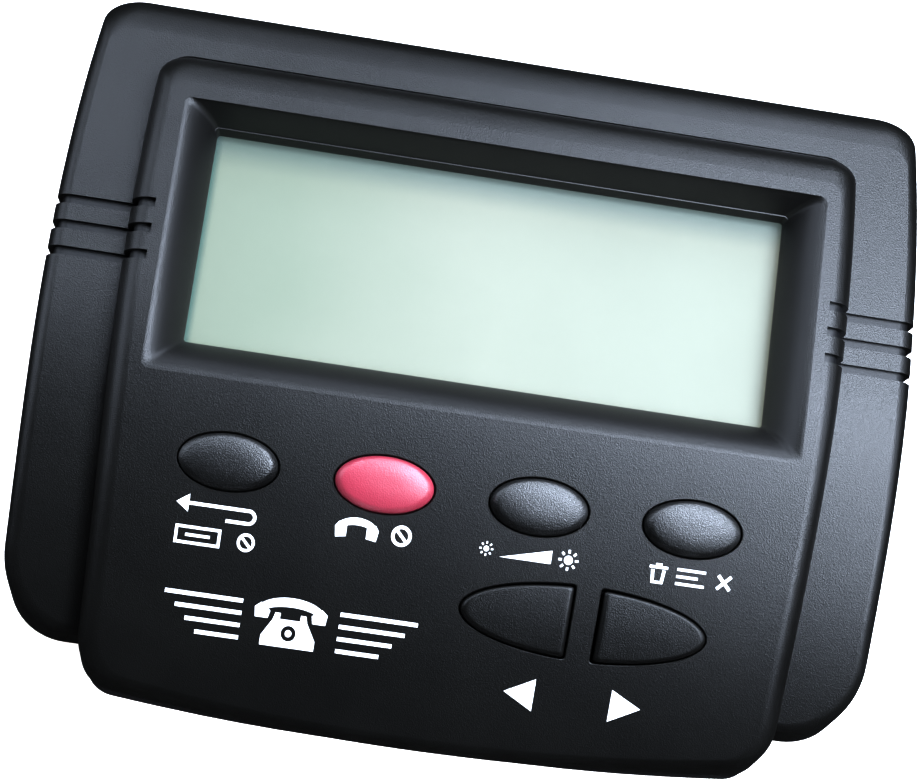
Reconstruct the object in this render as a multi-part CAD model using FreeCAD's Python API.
import FreeCAD, Part
import math
import os
from FreeCAD import Vector, Placement, Rotation

os.makedirs("parts", exist_ok=True)

# Desktop telephone call blocker with a caller display.  Millimetres, +Z up, +Y to the rear.
# Two frames are used: the row frame (X, Y, Z) and the face frame (u, v, w), in which w is the
# outward normal of the flat display area, v runs up the face and u is across it.

# ---------------------------------------------------------------- driving dimensions
FACE_TILT = 12.0            # tilt of the display area from the horizontal, degrees
Y0, Z0 = 15.3, 35.4         # face-frame origin in the row frame
SAG, V_BEND = 0.0118, -11.1 # the face bends down in front of V_BEND: w = -SAG/2 (V_BEND - v)^2
STEP_H = 4.1                # the side wings lie this far below the centre panel
Y_REAR = 42.87              # rear wall
Y_WING = -35.1              # front wall of the wings
V_PANEL_REAR = 17.9         # rear edge of the raised centre panel
WALL, SKIN = 2.0, 2.2       # side wall and top skin
Z_PART = 3.7                # parting plane of the two case halves
Z_BASE = 1.0                # underside of the bottom case
BASE_T = 2.4
R_ROLL = 7.0                # rear roll-off of the top case

REC_U, REC_V0, REC_V1 = 40.85, -23.2, 11.3       # rim of the display recess
WIN_U, WIN_V0, WIN_V1 = 36.85, -18.5, 9.05       # opening at the foot of the recess
REC_D = 6.0

KEY_U = (-28.68, -9.56, 9.56, 28.68)             # oval keys
KEY_V, KEY_A, KEY_B = -32.86, 6.23, 3.49         # centre line and half axes of their holes
ARW_U, ARW_V, ARW_A, ARW_B = 17.2, -45.8, 15.5, 4.5
ARW_L, ARW_R = 15.67, 18.82                      # straight sides of the two arrow keys
KEY_GAP, ARW_GAP = 0.30, 0.32
TRAVEL = 1.0

GROOVE_V = (-2.2, -5.48, -8.87)                  # rear edges of the three grooves on each wing
GROOVE_W, GROOVE_D, GROOVE_U = 1.15, 0.8, 42.3

PCB_W, PCB_T, PCB_U, PCB_V0, PCB_V1 = -15.5, 1.6, 41.5, -52.2, 20.0
MAT_T, DOME_W = 0.85, -12.0

CELL_D, CELL_L = 10.5, 44.5                      # AAA cells
CELL_Y = (22.6, 33.6)
BAY_X, BAY_Y0, BAY_Y1, BAY_Z = 25.6, 16.9, 39.4, 14.5
JACK_X, JACK_W, JACK_H, JACK_L = 38.0, 13.2, 12.0, 15.0
LB_Z, LB_T = 15.7, 1.6                           # line board
CASE_SCREWS = ((-47.0, -24.0, 6.5), (47.0, -24.0, 6.5), (-48.0, 16.0, 9.0), (48.0, 16.0, 9.0))
PCB_SCREWS = ((-37.5, 17.2), (37.5, 17.2), (-38.8, -27.0), (38.8, -27.0), (-36.5, -50.0), (36.5, -50.0))
FEET = {"rubber_foot_front_left": (-38.0, -29.0), "rubber_foot_front_right": (38.0, -29.0),
        "rubber_foot_rear_left": (-40.0, 30.0), "rubber_foot_rear_right": (40.0, 30.0)}

CA, SA = math.cos(math.radians(FACE_TILT)), math.sin(math.radians(FACE_TILT))
FACE = Placement(Vector(0, Y0, Z0), Rotation(Vector(1, 0, 0), FACE_TILT))


def prof(v):
    return -0.5 * SAG * max(0.0, V_BEND - v) ** 2


def row(u, v, w):
    return Vector(u, v * CA - w * SA + Y0, v * SA + w * CA + Z0)


def to_row(s):
    s = s.copy()
    s.Placement = FACE.multiply(s.Placement)
    return s


def half_outer(v):          # half width of the case at the wings
    t = v / 50.0
    return 55.0 - 1.41 * t - 4.15 * t * t - 2.48 * t ** 3


def half_panel(v):          # half width of the centre panel at its foot
    t = v / 50.0
    return 45.43 - 0.38 * t - 4.05 * t * t - 2.4 * t ** 3


def box(x0, x1, y0, y1, z0, z1):
    return Part.makeBox(x1 - x0, y1 - y0, z1 - z0, Vector(x0, y0, z0))


def cyl(x, y, z0, z1, r):
    return Part.makeCylinder(r, z1 - z0, Vector(x, y, z0))


def spline(pts):
    c = Part.BSplineCurve()
    c.interpolate(pts)
    return c.toShape()


def side_slab(shift, roll=None, rear_v=60.0, deep=-70.0):
    """Everything below the face surface moved by shift along w, 140 mm wide, in the row frame."""
    n = 10
    v_end = -80.0
    pts = [Vector(-70, V_BEND + (v_end - V_BEND) * i / n, prof(V_BEND + (v_end - V_BEND) * i / n) + shift)
           for i in range(n + 1)]
    c = Part.BSplineCurve()
    c.interpolate(Points=pts, InitialTangent=Vector(0, -1, 0) * 6.0, FinalTangent=Vector(0, -1, -SAG * (V_BEND - v_end)) * 6.0)
    edges = [c.toShape()]
    if roll:
        r, vs = roll
        a = math.radians(62)
        q0 = Vector(-70, vs, shift)
        qm = Vector(-70, vs + r * math.sin(a / 2), shift - r * (1 - math.cos(a / 2)))
        q1 = Vector(-70, vs + r * math.sin(a), shift - r * (1 - math.cos(a)))
        q2 = q1 + Vector(0, math.cos(a), -math.sin(a)) * 12
        chain = [Part.LineSegment(pts[0], q0).toShape(), Part.Arc(q0, qm, q1).toShape(),
                 Part.LineSegment(q1, q2).toShape()]
        last = q2
    else:
        last = Vector(-70, rear_v, shift)
        chain = [Part.LineSegment(pts[0], last).toShape()]
    e = Vector(-70, last.y, deep)
    f = Vector(-70, v_end, deep)
    edges += chain + [Part.LineSegment(last, e).toShape(), Part.LineSegment(e, f).toShape(),
                      Part.LineSegment(f, pts[-1]).toShape()]
    face = Part.Face(Part.Wire(Part.__sortEdges__(edges)))
    return to_row(face.extrude(Vector(140, 0, 0)))


def wing_plan(inset, z0, z1, radii=(4.5, 8.5)):
    vs = [27.6, 20, 10, 0, -10, -20, -30, -40, -50, -58]
    pts = []
    for v in vs:
        q = row(half_outer(v) - inset, v, prof(v) - STEP_H - 2.0)
        pts.append(Vector(q.x, q.y, z0))
    pts[0].y = max(pts[0].y, Y_REAR + 1)
    pts[-1].y = min(pts[-1].y, Y_WING - 1)
    right = spline(pts)
    left = spline([Vector(-p.x, p.y, z0) for p in pts])
    a, b = pts[0], pts[-1]
    w = Part.Wire(Part.__sortEdges__([right, left, Part.LineSegment(Vector(-a.x, a.y, z0), a).toShape(),
                                     Part.LineSegment(Vector(-b.x, b.y, z0), b).toShape()]))
    s = Part.Face(w).extrude(Vector(0, 0, z1 - z0))
    s = s.common(box(-70, 70, Y_WING + inset, Y_REAR - inset, z0 - 1, z1 + 1))
    for want_rear, r in ((True, radii[0]), (False, radii[1])):
        r = max(r - inset, 0.6)
        es = [e for e in s.Edges if abs(e.BoundBox.ZLength - (z1 - z0)) < 1e-3 and abs(e.CenterOfMass.x) > 30
              and (e.CenterOfMass.y > 0) == want_rear]
        s = s.makeFillet(r, es)
    return s


def panel_plan(side, rear, front, z0, z1, radii=(3.5, 5.0)):
    vs = [18, 10, 0, -10, -20, -30, -40, -50, -58, -64]
    pts = []
    for v in vs:
        q = row(half_panel(v) - side, v, prof(v) - STEP_H + 0.3)
        pts.append(Vector(q.x, q.y, z0))
    yr = row(0, V_PANEL_REAR, -STEP_H).y - rear
    pts[0].y = yr + 1
    pts[-1].y = -50.0
    right = spline(pts)
    left = spline([Vector(-p.x, p.y, z0) for p in pts])
    a, b = pts[0], pts[-1]
    w = Part.Wire(Part.__sortEdges__([right, left, Part.LineSegment(Vector(-a.x, a.y, z0), a).toShape(),
                                     Part.LineSegment(Vector(-b.x, b.y, z0), b).toShape()]))
    s = Part.Face(w).extrude(Vector(0, 0, z1 - z0))
    s = s.common(box(-70, 70, -60, yr, z0 - 1, z1 + 1))
    # bowed front wall
    fr = [row(u, v, prof(v) - 3.0) for u, v in ((0, -63.55), (22.9, -63.1), (40.3, -61.5), (52, -59.9))]
    fp = [Vector(-p.x, p.y + front, z0 - 1) for p in reversed(fr[1:])] + [Vector(p.x, p.y + front, z0 - 1) for p in fr]
    c = spline(fp)
    f0, f1 = fp[0], fp[-1]
    g1, g0 = Vector(f1.x, 60, z0 - 1), Vector(f0.x, 60, z0 - 1)
    keep = Part.Face(Part.Wire(Part.__sortEdges__([c, Part.LineSegment(f1, g1).toShape(), Part.LineSegment(g1, g0).toShape(),
                                                  Part.LineSegment(g0, f0).toShape()]))).extrude(Vector(0, 0, z1 - z0 + 2))
    s = s.common(keep)
    for want_rear, r, ins in ((True, radii[0], rear), (False, radii[1], front)):
        r = max(r - ins, 0.8)
        es = [e for e in s.Edges if abs(e.BoundBox.ZLength - (z1 - z0)) < 1e-3 and abs(e.CenterOfMass.x) > 30
              and (e.CenterOfMass.y > 0) == want_rear]
        s = s.makeFillet(r, es)
    return s


def one(s):
    s = s.removeSplitter()
    if s.ShapeType == "Compound" and len(s.Solids) == 1:
        s = s.Solids[0]
    return s


def rect_wire(u, v0, v1, w):
    p = [Vector(-u, v0, w), Vector(u, v0, w), Vector(u, v1, w), Vector(-u, v1, w)]
    return Part.makePolygon(p + [p[0]])


def frustum(u0, a0, b0, w0, u1, a1, b1, w1):
    return Part.makeLoft([rect_wire(u0, a0, b0, w0), rect_wire(u1, a1, b1, w1)], True, True)


def oval(u, v, a, b, w0, w1):
    e = Part.Ellipse(Vector(u, v, w0), max(a, b), min(a, b))
    return Part.Face(Part.Wire(e.toShape())).extrude(Vector(0, 0, w1 - w0))


def half_oval(side, inset, w0, w1):
    s = oval(ARW_U, ARW_V, ARW_A - inset, ARW_B - inset, w0, w1)
    if side < 0:
        return s.common(box(-40, ARW_L - inset, -60, -30, w0 - 1, w1 + 1))
    return s.common(box(ARW_R + inset, 60, -60, -30, w0 - 1, w1 + 1))


out = {}


def add(name, shape):
    out[name] = one(shape)


# ---------------------------------------------------------------- top case
def top_loop(s, low):
    """Edges where the top surface meets the walls: those that lie wholly above the wall foot."""
    es = []
    for e in s.Edges:
        bb = e.BoundBox
        if bb.ZMin > low and not (bb.ZLength > 8 and bb.XLength < 0.01 and bb.YLength < 0.01):
            es.append(e)
    return es


wing = wing_plan(0, Z_PART, 60).common(side_slab(-STEP_H, (R_ROLL, 20.6)))
panel = panel_plan(0, 0, 0, Z_PART, 60).common(side_slab(0.0))


def rim_edges(s):
    """Edges shared by a vertical wall face and a non-vertical top face."""
    res = []
    for e in s.Edges:
        faces = [f for f in s.Faces if any(e.isSame(x) for x in f.Edges)]
        if len(faces) != 2:
            continue
        kinds = []
        for f in faces:
            u0, u1, v0, v1 = f.ParameterRange
            n = f.normalAt((u0 + u1) / 2, (v0 + v1) / 2)
            kinds.append(abs(n.z) < 0.02)
        if kinds.count(True) == 1 and e.BoundBox.ZMin > Z_PART + 0.5:
            res.append(e)
    return res


def soften(s, radii, label):
    for r in radii:
        try:
            t = s.makeFillet(r, rim_edges(s))
            if t.isValid() and t.Volume > 0.9 * s.Volume:
                print(label, "rim radius", r)
                return t
        except Exception as err:
            pass
    print(label, "rim left sharp")
    return s


wing = soften(wing, (1.8, 1.5, 1.2, 0.9, 0.6), "wing")
panel = soften(panel, (2.2, 1.8, 1.4, 1.0, 0.7), "panel")
top = wing.fuse(panel)

cav_wing = wing_plan(WALL, 0, 60).common(side_slab(-STEP_H - SKIN, (R_ROLL - 2.0, 20.6)))
cav_panel = panel_plan(4.8, 2.0, 2.0, 0, 60).common(side_slab(-SKIN))
top = top.cut(cav_wing).cut(cav_panel)

# display recess: sloping walls with a skin of their own, open at the foot
k = (REC_U - WIN_U) / REC_D
k0 = (WIN_V0 - REC_V0) / REC_D
k1 = (REC_V1 - WIN_V1) / REC_D
skin = frustum(REC_U + 1.6, REC_V0 - 1.8, REC_V1 + 1.6, -1.2, WIN_U + 2.0 + 0.2 * k, WIN_V0 - 2.0, WIN_V1 + 2.0, -REC_D)
hole = frustum(REC_U + k, REC_V0 - k0, REC_V1 + k1, 1.0, WIN_U, WIN_V0, WIN_V1, -REC_D)
top = top.fuse(to_row(skin)).cut(to_row(hole)).cut(to_row(box(-WIN_U, WIN_U, WIN_V0, WIN_V1, -9, -REC_D + 0.5)))

# key holes
for u in KEY_U:
    top = top.cut(to_row(oval(u, KEY_V, KEY_A, KEY_B, -12, 3)))
for s in (-1, 1):
    top = top.cut(to_row(half_oval(s, 0.0, -20, 1)))

# three grooves over each wing, cut a little into the edge of the centre panel
core = wing_plan(GROOVE_D, 0, 60).common(side_slab(-STEP_H - GROOVE_D, (R_ROLL - GROOVE_D, 20.6)))
bands = None
for v in GROOVE_V:
    for s in (-1, 1):
        b = to_row(box(min(s * GROOVE_U, s * 62), max(s * GROOVE_U, s * 62), v - GROOVE_W, v, -11.5, 4.0))
        bands = b if bands is None else bands.fuse(b)
top = top.cut(bands.cut(core))

# bosses for the case screws and the main board
inner = cav_wing.fuse(cav_panel)
for x, y, zs in CASE_SCREWS:
    boss = cyl(x, y, zs + 0.15, 45, 3.2).common(inner)
    top = top.fuse(boss)
for u, v in PCB_SCREWS:
    boss = to_row(Part.makeCylinder(2.6, 14.0, Vector(u, v, PCB_W + 0.05))).common(inner)
    top = top.fuse(boss)
for x, y, zs in CASE_SCREWS:
    top = top.cut(cyl(x, y, zs - 1, zs + (6.5 if y > 0 else 4.3), 1.25))
for u, v in PCB_SCREWS:
    top = top.cut(to_row(Part.makeCylinder(0.9, (3.4 if v < -40 else 5.0) + 1.0, Vector(u, v, PCB_W - 1.0))))

# openings for the two line jacks
for s in (-1, 1):
    x = s * JACK_X
    top = top.cut(box(x - JACK_W / 2 - 0.2, x + JACK_W / 2 + 0.2, Y_REAR - 6, Y_REAR + 3, 0, LB_Z + 0.3))
if len(top.Solids) > 1:
    top = max(top.Solids, key=lambda q: q.Volume)
add("top_case", top)

# ---------------------------------------------------------------- bottom case
UNDER = 0.8
base = wing_plan(UNDER, Z_BASE, Z_PART).fuse(panel_plan(UNDER, 0.5, UNDER, Z_BASE, Z_PART))
well = wing_plan(3.35, Z_BASE + BASE_T, Z_PART + 2).fuse(panel_plan(3.35, 3.35, 3.35, Z_BASE + BASE_T, Z_PART + 2))
lip = wing_plan(2.15, Z_PART - 0.5, Z_PART + 1.2).fuse(panel_plan(2.15, 2.15, 2.15, Z_PART - 0.5, Z_PART + 1.2))
base = base.fuse(lip).cut(well)
# keep the lip clear of the case skin in the shallow front of the panel
base = base.cut(box(-60, 60, -60, 60, Z_PART, 12).cut(inner))

bay = box(-BAY_X - 1.2, BAY_X + 1.2, BAY_Y0 - 1.2, BAY_Y1 + 0.9, Z_BASE + BASE_T - 0.5, BAY_Z + 1.0)
base = base.fuse(bay)
for x, y, zs in CASE_SCREWS:
    base = base.fuse(cyl(x, y, Z_BASE + 0.5, zs, 3.4))
for s in (-1, 1):
    base = base.fuse(cyl(s * 29.1, 30.0, Z_BASE + 1, LB_Z - 0.05, 1.8))
base = base.cut(box(-BAY_X, BAY_X, BAY_Y0, BAY_Y1, 0, BAY_Z))
# channel for the battery door, open to the rear, with a groove along each side
base = base.cut(box(-25.3, 25.3, BAY_Y0 - 2.4, 60, 0, 3.3))
base = base.cut(box(-26.9, 26.9, BAY_Y0 - 2.4, 60, 1.55, 2.75))
for x, y, zs in CASE_SCREWS:
    base = base.cut(cyl(x, y, 0, zs - 2.2, 2.6)).cut(cyl(x, y, 0, zs + 1, 1.45))
for s in (-1, 1):
    base = base.cut(cyl(s * 29.1, 30.0, LB_Z - 6, LB_Z + 1, 0.9))
    x = s * JACK_X
    base = base.cut(box(x - JACK_W / 2 - 0.2, x + JACK_W / 2 + 0.2, Y_REAR - JACK_L - 1.2, Y_REAR + 3, Z_BASE + BASE_T, 12))
for n, (x, y) in FEET.items():
    base = base.cut(cyl(x, y, 0, Z_BASE + 0.8, 4.65))
# saddle ribs that locate the jacks
for s in (-1, 1):
    x = s * JACK_X
    for q in (-1, 1):
        cx = x + q * (JACK_W / 2 + 0.75)
        rib = box(cx - 0.45, cx + 0.45, 29.0, 37.0, Z_BASE + BASE_T - 0.4, 9.0)
        base = base.fuse(rib)
# slots for the battery contact tabs
for s in (-1, 1):
    base = base.cut(box(min(s * 25.1, s * 26.0), max(s * 25.1, s * 26.0), 20.1, 23.1, BAY_Z - 1, BAY_Z + 3))
if len(base.Solids) > 1:
    base = max(base.Solids, key=lambda q: q.Volume)
add("bottom_case", base)

# battery door: slides out to the rear on two tongues
door = box(-25.0, 25.0, BAY_Y0 - 2.1, Y_REAR - 1.1, Z_BASE, 3.0)
door = door.fuse(box(-26.6, 26.6, BAY_Y0 - 2.1, Y_REAR - 2.4, 1.85, 2.45))
for i in range(5):
    door = door.cut(box(-9, 9, 33.5 + 1.6 * i, 34.2 + 1.6 * i, Z_BASE - 0.2, Z_BASE + 0.4))
add("battery_door", door)

# ---------------------------------------------------------------- cells and contacts
zc = 3.75 + CELL_D / 2
for i, y in enumerate(CELL_Y):
    d = 1 if i == 0 else -1
    x0 = -21.0 if d > 0 else 21.0
    body = Part.makeCylinder(CELL_D / 2, CELL_L - 0.9, Vector(x0, y, zc), Vector(d, 0, 0))
    nub = Part.makeCylinder(1.9, 1.0, Vector(x0 + d * (CELL_L - 1.0), y, zc), Vector(d, 0, 0))
    add("aaa_cell_%s" % ("front" if i == 0 else "rear"), body.makeFillet(0.5, [e for e in body.Edges if e.Length > 20]).fuse(nub))

def coil_solid(turns, r0, r1, wire, length, per_turn=14, sides=8):
    """A conical wire coil along +Z, as a closed shell of flat facets."""
    def axis(t):
        a, r = 2 * math.pi * t, r0 + (r1 - r0) * t / turns
        return Vector(r * math.cos(a), r * math.sin(a), length * t / turns)
    rings = []
    steps = turns * per_turn
    for k in range(steps + 1):
        t = k / float(per_turn)
        p = axis(t)
        tan = (axis(t + 1e-4) - axis(t - 1e-4)).normalize()
        n1 = tan.cross(Vector(0, 0, 1)).normalize()
        n2 = n1.cross(tan).normalize()
        rings.append([p + n1 * (wire * math.cos(2 * math.pi * j / sides)) + n2 * (wire * math.sin(2 * math.pi * j / sides))
                      for j in range(sides)])
    tris = []
    for k in range(steps):
        for j in range(sides):
            m = (j + 1) % sides
            tris.append((rings[k][j], rings[k][m], rings[k + 1][m]))
            tris.append((rings[k][j], rings[k + 1][m], rings[k + 1][j]))
    faces = [Part.Face(Part.makePolygon([p, q, r, p])) for p, q, r in tris]
    faces.append(Part.Face(Part.makePolygon(rings[0] + rings[0][:1])))
    faces.append(Part.Face(Part.makePolygon(rings[-1] + rings[-1][:1])))
    solid = Part.Solid(Part.Shell(faces))
    if solid.Volume < 0:
        solid.reverse()
    return solid


springs = []
for i, y in enumerate(CELL_Y):
    d = 1 if i == 0 else -1
    xw = -d * 25.25                     # plate side that carries the spring
    length = abs(-d * 21.0 - xw) - 0.75
    sp = coil_solid(4, 3.9, 2.2, 0.33, length)
    sp.Placement = Placement(Vector(xw + d * 0.40, y, zc), Rotation(Vector(0, 0, 1), Vector(d, 0, 0)))
    springs.append(sp)
print("springs", [(s.isValid(), round(s.Volume, 3), len(s.Faces)) for s in springs])
out["battery_springs"] = Part.makeCompound(springs)

plates = []
for s in (-1, 1):
    a, b = (25.28, 25.58) if s > 0 else (-25.58, -25.28)
    p = box(a, b, 17.6, 38.6, 4.2, 13.6).fuse(box(a, b, 20.4, 22.8, 13.0, 16.2))
    plates.append(one(p))
out["battery_contact_plates"] = Part.makeCompound(plates)

leads = []
for s in (-1, 1):
    zt = row(0, (21.6 - Y0 + (PCB_W - PCB_T) * SA) / CA, PCB_W - PCB_T).z
    leads.append(cyl(s * 25.43, 21.6, 16.25, zt - 0.25, 0.6))
out["battery_leads"] = Part.makeCompound(leads)

# ---------------------------------------------------------------- line jacks and line board
for name, s in (("line_jack", -1), ("phone_jack", 1)):
    x = s * JACK_X
    y1 = Y_REAR - 0.4
    z0 = LB_Z - JACK_H
    j = box(x - JACK_W / 2, x + JACK_W / 2, y1 - JACK_L, y1, z0, LB_Z - 0.02)
    j = j.cut(box(x - 4.8, x + 4.8, y1 - 12.2, y1 + 1, z0 + 2.6, z0 + 9.3))
    j = j.cut(box(x - 3.1, x + 3.1, y1 - 12.2, y1 + 1, z0 + 1.5, z0 + 2.7))
    j = j.cut(box(x - 2.0, x + 2.0, y1 - 12.2, y1 + 1, z0 + 0.7, z0 + 1.6))
    wires = []
    for i in range(4):
        cx = x - 1.53 + 1.02 * i
        a = Vector(cx, y1 - 2.2, z0 + 9.0)
        b = Vector(cx, y1 - 9.8, z0 + 7.1)
        dv = b - a
        wires.append(Part.makeCylinder(0.22, dv.Length, a, dv))
        j = j.cut(box(cx - 0.3, cx + 0.3, y1 - 5.2, y1 - 1.6, z0 + 8.0, z0 + 9.8))
    add(name, j)
    out[name + "_contacts"] = Part.makeCompound(wires)

lb = box(-45.6, 45.6, 24.6, 40.2, LB_Z, LB_Z + LB_T)
for s in (-1, 1):
    lb = lb.cut(cyl(s * 29.1, 30.0, LB_Z - 1, LB_Z + 3, 1.1))
add("line_board", lb)
rel = box(-8, 6, 33.2, 39.6, LB_Z + LB_T + 0.02, LB_Z + LB_T + 3.9)
add("line_relay", rel.makeFillet(0.3, rel.Edges))
cap = cyl(20, 36, LB_Z + LB_T + 0.02, LB_Z + LB_T + 3.8, 2.6)
add("line_capacitor", cap.makeFillet(0.4, cap.Edges))
hd = [box(-12, 12, 25.0, 27.6, LB_Z + LB_T + 0.02, LB_Z + LB_T + 1.5)]
for i in range(8):
    zt = row(0, (26.3 - Y0 + (PCB_W - PCB_T) * SA) / CA, PCB_W - PCB_T).z
    hd[0] = hd[0].fuse(box(-9.1 + 2.54 * i, -8.5 + 2.54 * i, 26.0, 26.6, LB_Z + LB_T + 1.0, zt - 0.15))
add("board_link", hd[0])


def screw(head_r, head_h, r, length):
    """Pan head screw, point up, head underside at the origin."""
    s = Part.makeCylinder(head_r, head_h, Vector(0, 0, -head_h))
    s = s.makeFillet(min(0.5, head_h * 0.4), [e for e in s.Edges if e.BoundBox.ZMax < -head_h + 1e-3 and e.Length > 3])
    s = s.fuse(Part.makeCylinder(r, length - 0.78, Vector(0, 0, -0.01))).fuse(Part.makeCone(r, 0.3 * r, 0.8, Vector(0, 0, length - 0.8)))
    for ang in (0, 90):
        c = Part.makeBox(head_r * 1.1, 0.5, head_h * 0.6, Vector(-head_r * 0.55, -0.25, -head_h - 0.01))
        c.rotate(Vector(0, 0, 0), Vector(0, 0, 1), ang)
        s = s.cut(c)
    return one(s)


lst = []
for x, y, zs in CASE_SCREWS:
    q = screw(2.3, 1.7, 1.15, 2.2 + (5.6 if y > 0 else 3.6))
    q.Placement = Placement(Vector(x, y, zs - 2.2 - 0.02), Rotation())
    lst.append(q)
out["case_screws"] = Part.makeCompound(lst)
lst = []
for s in (-1, 1):
    q = screw(1.9, 1.3, 0.85, 6.0)
    q.Placement = Placement(Vector(s * 29.1, 30.0, LB_Z + LB_T + 0.02), Rotation(Vector(1, 0, 0), 180))
    lst.append(q)
out["line_board_screws"] = Part.makeCompound(lst)
lst = []
for u, v in PCB_SCREWS:
    q = screw(1.9, 1.3, 0.85, PCB_T + (3.0 if v < -40 else 4.6))
    q.Placement = Placement(Vector(u, v, PCB_W - PCB_T - 0.02), Rotation())
    lst.append(to_row(q))
out["board_screws"] = Part.makeCompound(lst)

# ---------------------------------------------------------------- display stack and main board
add("display_window", to_row(box(-WIN_U - 1.6, WIN_U + 1.6, WIN_V0 - 1.6, WIN_V1 + 1.6, -REC_D - 1.2, -REC_D - 0.05)))
add("lcd_glass", to_row(box(-38.9, 38.9, -21.2, 11.3, -9.7, -7.45)))
add("backlight_panel", to_row(box(-36.8, 36.8, -18.6, 10.4, -12.8, -9.9)))
leds = [to_row(box(min(s * 37.0, s * 38.6), max(s * 37.0, s * 38.6), -6.0, -3.0, -12.4, -10.4)) for s in (-1, 1)]
out["backlight_leds"] = Part.makeCompound(leds)
add("zebra_strip", to_row(box(-35, 35, -21.0, -19.2, PCB_W + 0.05, -9.75)))
hol = box(-40.0, 40.0, -22.7, 13.2, PCB_W + 0.02, -6.7).cut(box(-39.1, 39.1, -21.5, 11.6, PCB_W - 1, -6))
for s in (-1, 1):
    hol = hol.fuse(Part.makeCylinder(1.0, 1.9, Vector(s * 30, 12.4, PCB_W - 1.6)))
hol = hol.cut(box(-38.5, 38.5, -24, -21, -9.0, -6))
hol = hol.fuse(box(-39.3, -37.3, -21.7, 11.8, -14.0, -13.0)).fuse(box(37.3, 39.3, -21.7, 11.8, -14.0, -13.0))
add("lcd_holder", to_row(hol))

pcb = box(-PCB_U, PCB_U, PCB_V0, PCB_V1, PCB_W - PCB_T, PCB_W)
pcb = pcb.makeFillet(2.0, [e for e in pcb.Edges if abs(e.BoundBox.ZLength - PCB_T) < 1e-6 and e.BoundBox.XLength < 1e-6])
for s in (-1, 1):
    pcb = pcb.cut(box(min(s * 38.9, s * 45), max(s * 38.9, s * 45), -60, -48.0, PCB_W - 3, PCB_W + 1))
for u, v in PCB_SCREWS:
    pcb = pcb.cut(Part.makeCylinder(1.1, 4, Vector(u, v, PCB_W - 3)))
for s in (-1, 1):
    pcb = pcb.cut(Part.makeCylinder(1.15, 4, Vector(s * 30, 12.4, PCB_W - 3)))
add("main_board", to_row(pcb))


def chip(u, v, a, b, t):
    s = box(u - a, u + a, v - b, v + b, PCB_W - PCB_T - t, PCB_W - PCB_T - 0.1)
    for i in range(8):
        q = -a + 0.9 + i * (2 * a - 1.8) / 7.0
        s = s.fuse(box(u + q - 0.2, u + q + 0.2, v - b - 0.9, v + b + 0.9, PCB_W - PCB_T - 0.7, PCB_W - PCB_T - 0.3))
    return to_row(s)


add("controller_chip", chip(-14, -28, 6.0, 6.0, 1.7))
add("memory_chip", chip(8, -28, 4.5, 2.2, 1.6))
xt = Part.makeCylinder(1.0, 6.0, Vector(20, -30, PCB_W - PCB_T - 1.1), Vector(0, 1, 0))
add("crystal", to_row(xt.makeFillet(0.25, xt.Edges[0:1])))

# ---------------------------------------------------------------- keypad mat and keys
mat = box(-37.4, 34.6, -48.2, -29.6, PCB_W + 0.05, PCB_W + MAT_T)
mat = mat.fuse(box(-34.0, 34.0, -51.2, -48.0, PCB_W + 0.05, PCB_W + MAT_T))
domes = [(u, KEY_V) for u in KEY_U] + [(10.6, ARW_V), (23.8, ARW_V)]
for u, v in domes:
    mat = mat.fuse(Part.makeCone(3.4, 2.2, DOME_W - (PCB_W + MAT_T) + 0.1, Vector(u, v, PCB_W + MAT_T - 0.1)))
mat = mat.cut(Part.makeCylinder(2.6 + 0.4, 5, Vector(36.5, -50.0, PCB_W - 1))).cut(Part.makeCylinder(3.0, 5, Vector(-36.5, -50.0, PCB_W - 1)))
for s in (-1, 1):
    mat = mat.cut(Part.makeCylinder(3.0, 5, Vector(s * 38.8, -27.0, PCB_W - 1)))
add("keypad_mat", to_row(mat))

slab_lo = side_slab(-3.4)
slab_hi = side_slab(-2.5)
sl = SAG * (V_BEND - KEY_V)
nrm = Vector(0, -sl, 1)
nrm.normalize()
for name, u in zip(("button_back", "button_block", "button_bright", "button_delete"), KEY_U):
    body = oval(u, KEY_V, KEY_A - KEY_GAP, KEY_B - KEY_GAP, -9, 4)
    R = 15.0
    c = Vector(u, KEY_V, prof(KEY_V)) + nrm * (1.5 - R)
    body = body.common(Part.makeSphere(R, c))
    body = to_row(body).cut(slab_lo)
    fl = to_row(oval(u, KEY_V, KEY_A + 1.0, KEY_B + 0.9, -9, 4)).common(slab_hi).cut(slab_lo)
    stem = to_row(oval(u, KEY_V, 2.6, 1.9, DOME_W + 0.03, prof(KEY_V) - 3.0))
    add(name, body.fuse(fl).fuse(stem))

slab_top = side_slab(0.45)
for name, s, su in (("button_left", -1, 10.6), ("button_right", 1, 23.8)):
    body = to_row(half_oval(s, ARW_GAP, -19, 2)).common(slab_top).cut(slab_lo)
    fl = half_oval(s, -0.9, -19, 2)
    if s < 0:
        fl = fl.common(box(-40, ARW_L + 0.55, -60, -30, -20, 3))
    else:
        fl = fl.common(box(ARW_R - 0.55, 60, -60, -30, -20, 3))
    fl = to_row(fl).common(slab_hi).cut(slab_lo)
    stem = to_row(oval(su, ARW_V, 2.6, 1.9, DOME_W + 0.03, prof(ARW_V) - 3.0))
    add(name, body.fuse(fl).fuse(stem))

# ---------------------------------------------------------------- rubber feet
for n, (x, y) in FEET.items():
    f = cyl(x, y, 0, Z_BASE + 0.78, 4.5)
    f = f.makeFillet(0.5, [e for e in f.Edges if e.BoundBox.ZMax < 1e-6])
    add(n, f)

# ---------------------------------------------------------------- write
for name in sorted(out):
    s = out[name]
    bb = s.BoundBox
    print("%-26s %-9s solids %d valid %s vol %9.1f  x %7.2f %7.2f y %7.2f %7.2f z %6.2f %6.2f" %
          (name, s.ShapeType, len(s.Solids), s.isValid(), s.Volume, bb.XMin, bb.XMax, bb.YMin, bb.YMax, bb.ZMin, bb.ZMax))
    s.exportStep("parts/%s.step" % name)
